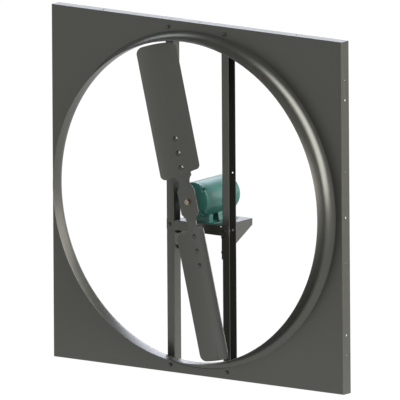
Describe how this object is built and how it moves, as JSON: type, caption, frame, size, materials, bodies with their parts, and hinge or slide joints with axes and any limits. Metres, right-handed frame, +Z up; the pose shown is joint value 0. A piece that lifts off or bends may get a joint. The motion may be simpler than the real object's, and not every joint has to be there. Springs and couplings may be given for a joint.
{
  "type": "direct drive fan",
  "caption": "Square wall exhaust fan: a panel with a round orifice ring and a propeller driven straight by a motor on a rear shelf.",
  "frame": {"origin": "middle of the whole fan's footprint, at the underside of the bottom flange", "axes": "+X across the panel to the right as seen from the inlet side, +Y from the inlet side to the motor side, +Z up"},
  "size_m": [1.524, 0.332, 1.524],
  "materials": {
    "painted_panel": "semi-gloss olive grey enamel",
    "painted_frame": "semi-gloss olive grey enamel",
    "painted_fasteners": "painted over with the frame",
    "motor_paint": "gloss teal enamel",
    "zinc": "zinc plated",
    "bright_steel": "ground and polished",
    "black_screw": "black oxide",
    "hub_brass": "machined",
    "lamination_steel": "stacked laminations",
    "winding_copper": "varnished enamelled wire"
  },
  "bodies": {
    "frame": {"fan_panel": "painted_panel", "orifice_ring": "painted_panel", "upright_left": "painted_frame", "upright_right": "painted_frame", "panel_bolts": "painted_fasteners", "panel_nuts": "painted_fasteners", "motor_shelf": "painted_frame", "lip_bolts": "painted_fasteners", "lip_nuts": "painted_fasteners", "gusset_bolts": "painted_fasteners", "gusset_nuts": "painted_fasteners", "motor_base": "motor_paint", "motor_base_bolts": "painted_fasteners", "motor_base_nuts": "painted_fasteners", "motor_shell": "motor_paint", "front_end_bell": "motor_paint", "rear_end_bell": "motor_paint", "through_bolts": "black_screw", "stator_core": "lamination_steel", "stator_windings": "winding_copper", "conduit_box": "motor_paint", "conduit_box_cover": "motor_paint", "conduit_box_screws": "zinc", "front_bearing_outer_race": "bright_steel", "front_bearing_balls": "bright_steel", "rear_bearing_outer_race": "bright_steel", "rear_bearing_balls": "bright_steel"},
    "rotor": {"front_bearing_inner_race": "bright_steel", "rear_bearing_inner_race": "bright_steel", "rotor_core": "lamination_steel", "motor_shaft": "bright_steel", "shaft_key": "bright_steel", "hub": "hub_brass", "hub_set_screw": "black_screw", "propeller_spider": "painted_panel", "blade_upper": "painted_panel", "blade_lower": "painted_panel", "blade_bolts": "painted_fasteners", "blade_nuts": "painted_fasteners"}
  },
  "joints": [
    {"name": "propeller_spin", "type": "hinge", "parent": "frame", "child": "rotor", "pos_m": [0, -0.05598, 0.762], "axis": [0, 1, 0], "continuous": true}
  ]
}
